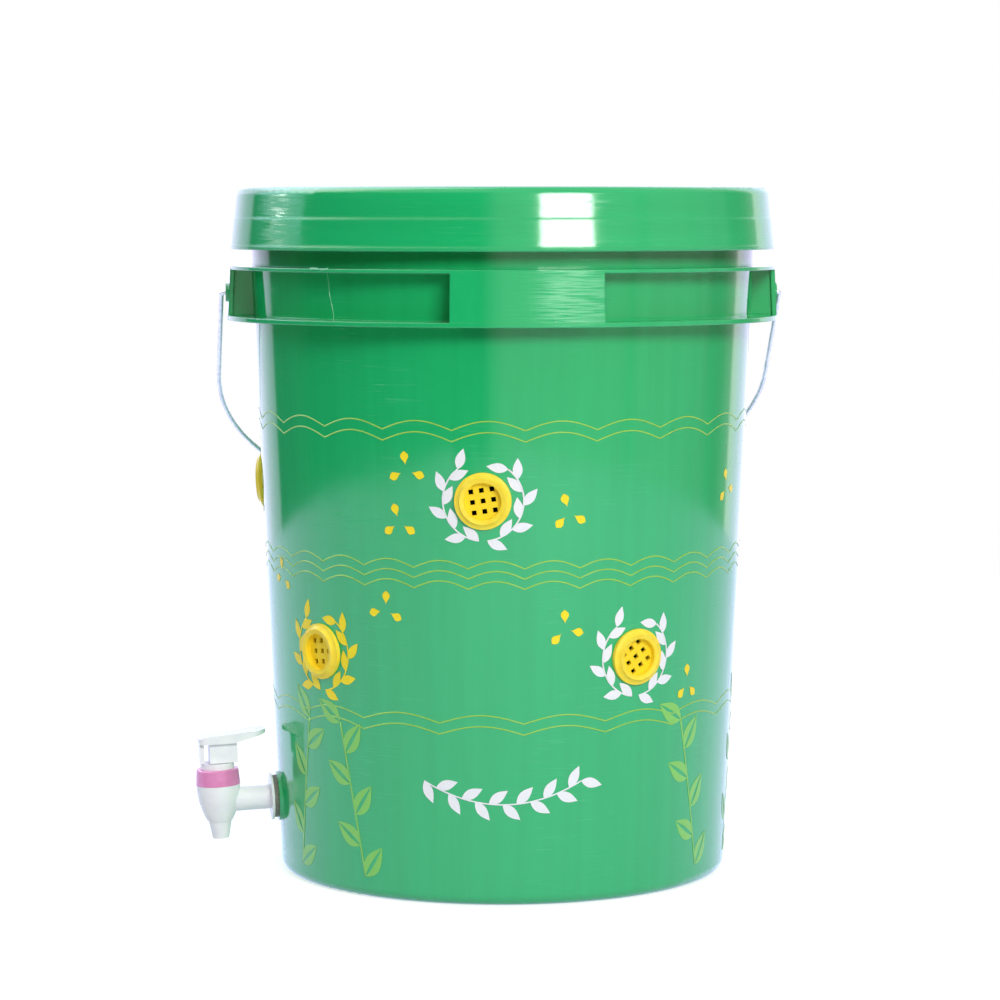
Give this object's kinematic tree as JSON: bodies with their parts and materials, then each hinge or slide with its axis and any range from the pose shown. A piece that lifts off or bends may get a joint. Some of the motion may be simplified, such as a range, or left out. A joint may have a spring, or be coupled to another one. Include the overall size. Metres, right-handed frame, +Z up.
{
  "type": "compost bin",
  "caption": "Tapered pail for composting with a press-on lid, wire bail, round grid vents, a raised strainer inside and a self-closing lever tap that draws off liquid.",
  "frame": {"origin": "centre of the foot ring, on the floor plane and the pail's axis", "axes": "+Z up the pail's axis, X through the bail's two pivots, -Y towards the front; the tap is on the -X side"},
  "size_m": [0.3377, 0.3124, 0.387],
  "materials": {
    "green_polypropylene": "glossy moulded polypropylene, lightly scuffed",
    "gasket_rubber": "soft, matt",
    "galvanised_wire": "zinc-coated drawn wire",
    "grip_plastic": "moulded, satin",
    "strainer_plastic": "moulded, satin",
    "vent_plastic": "glossy moulded",
    "tap_plastic": "glossy moulded",
    "collar_plastic": "glossy moulded",
    "tap_rubber": "soft, matt",
    "tap_steel": "drawn stainless wire"
  },
  "bodies": {
    "bin": {"bucket": "green_polypropylene", "vent_upper_left": "vent_plastic", "vent_upper_front": "vent_plastic", "vent_lower_left": "vent_plastic", "vent_lower_right": "vent_plastic", "vent_lower_back_left": "vent_plastic", "vent_lower_back_right": "vent_plastic", "vent_ring_upper_left": "vent_plastic", "vent_ring_upper_front": "vent_plastic", "vent_ring_lower_left": "vent_plastic", "vent_ring_lower_right": "vent_plastic", "vent_ring_lower_back_left": "vent_plastic", "vent_ring_lower_back_right": "vent_plastic", "tap_body": "tap_plastic", "tap_outer_washer": "tap_rubber", "tap_inner_washer": "tap_rubber", "tap_nut": "tap_plastic", "tap_bonnet": "tap_plastic", "tap_collar": "collar_plastic", "tap_spring": "tap_steel"},
    "lid": {"lid": "green_polypropylene", "lid_gasket": "gasket_rubber"},
    "bail": {"bail_wire": "galvanised_wire"},
    "grip": {"bail_grip": "grip_plastic"},
    "strainer": {"strainer_plate": "strainer_plastic", "strainer_feet": "strainer_plastic"},
    "stem": {"tap_stem": "tap_plastic", "tap_seal": "tap_rubber"},
    "lever": {"tap_lever": "tap_plastic", "tap_lever_pin": "tap_plastic"}
  },
  "joints": [
    {"name": "lid_lift", "type": "slide", "parent": "bin", "child": "lid", "axis": [0, 0, 1], "range_m": [0, 0.12]},
    {"name": "bail_swing", "type": "hinge", "parent": "bin", "child": "bail", "pos_m": [0, 0, 0.3282], "axis": [1, 0, 0], "range_deg": [0, 255]},
    {"name": "grip_spin", "type": "hinge", "parent": "bail", "child": "grip", "pos_m": [0, 0.14384, 0.20254], "axis": [1, 0, 0], "continuous": true},
    {"name": "strainer_lift", "type": "slide", "parent": "bin", "child": "strainer", "axis": [0, 0, 1], "range_m": [0, 0.25]},
    {"name": "stem_lift", "type": "slide", "parent": "bin", "child": "stem", "axis": [-0.0454, -0.004, 0.999], "range_m": [0, 0.0034], "deforming": ["tap_spring"]},
    {"name": "lever_press", "type": "hinge", "parent": "stem", "child": "lever", "pos_m": [-0.16389, -0.01434, 0.06744], "axis": [-0.0872, 0.9962, 0], "range_deg": [0, 18], "stiffness_Nm_per_rad": 0.25, "springref_deg": -6.88}
  ],
  "couplings": [
    {"joint": "stem_lift", "follows": "lever_press", "m_per_rad": 0.0108}
  ]
}
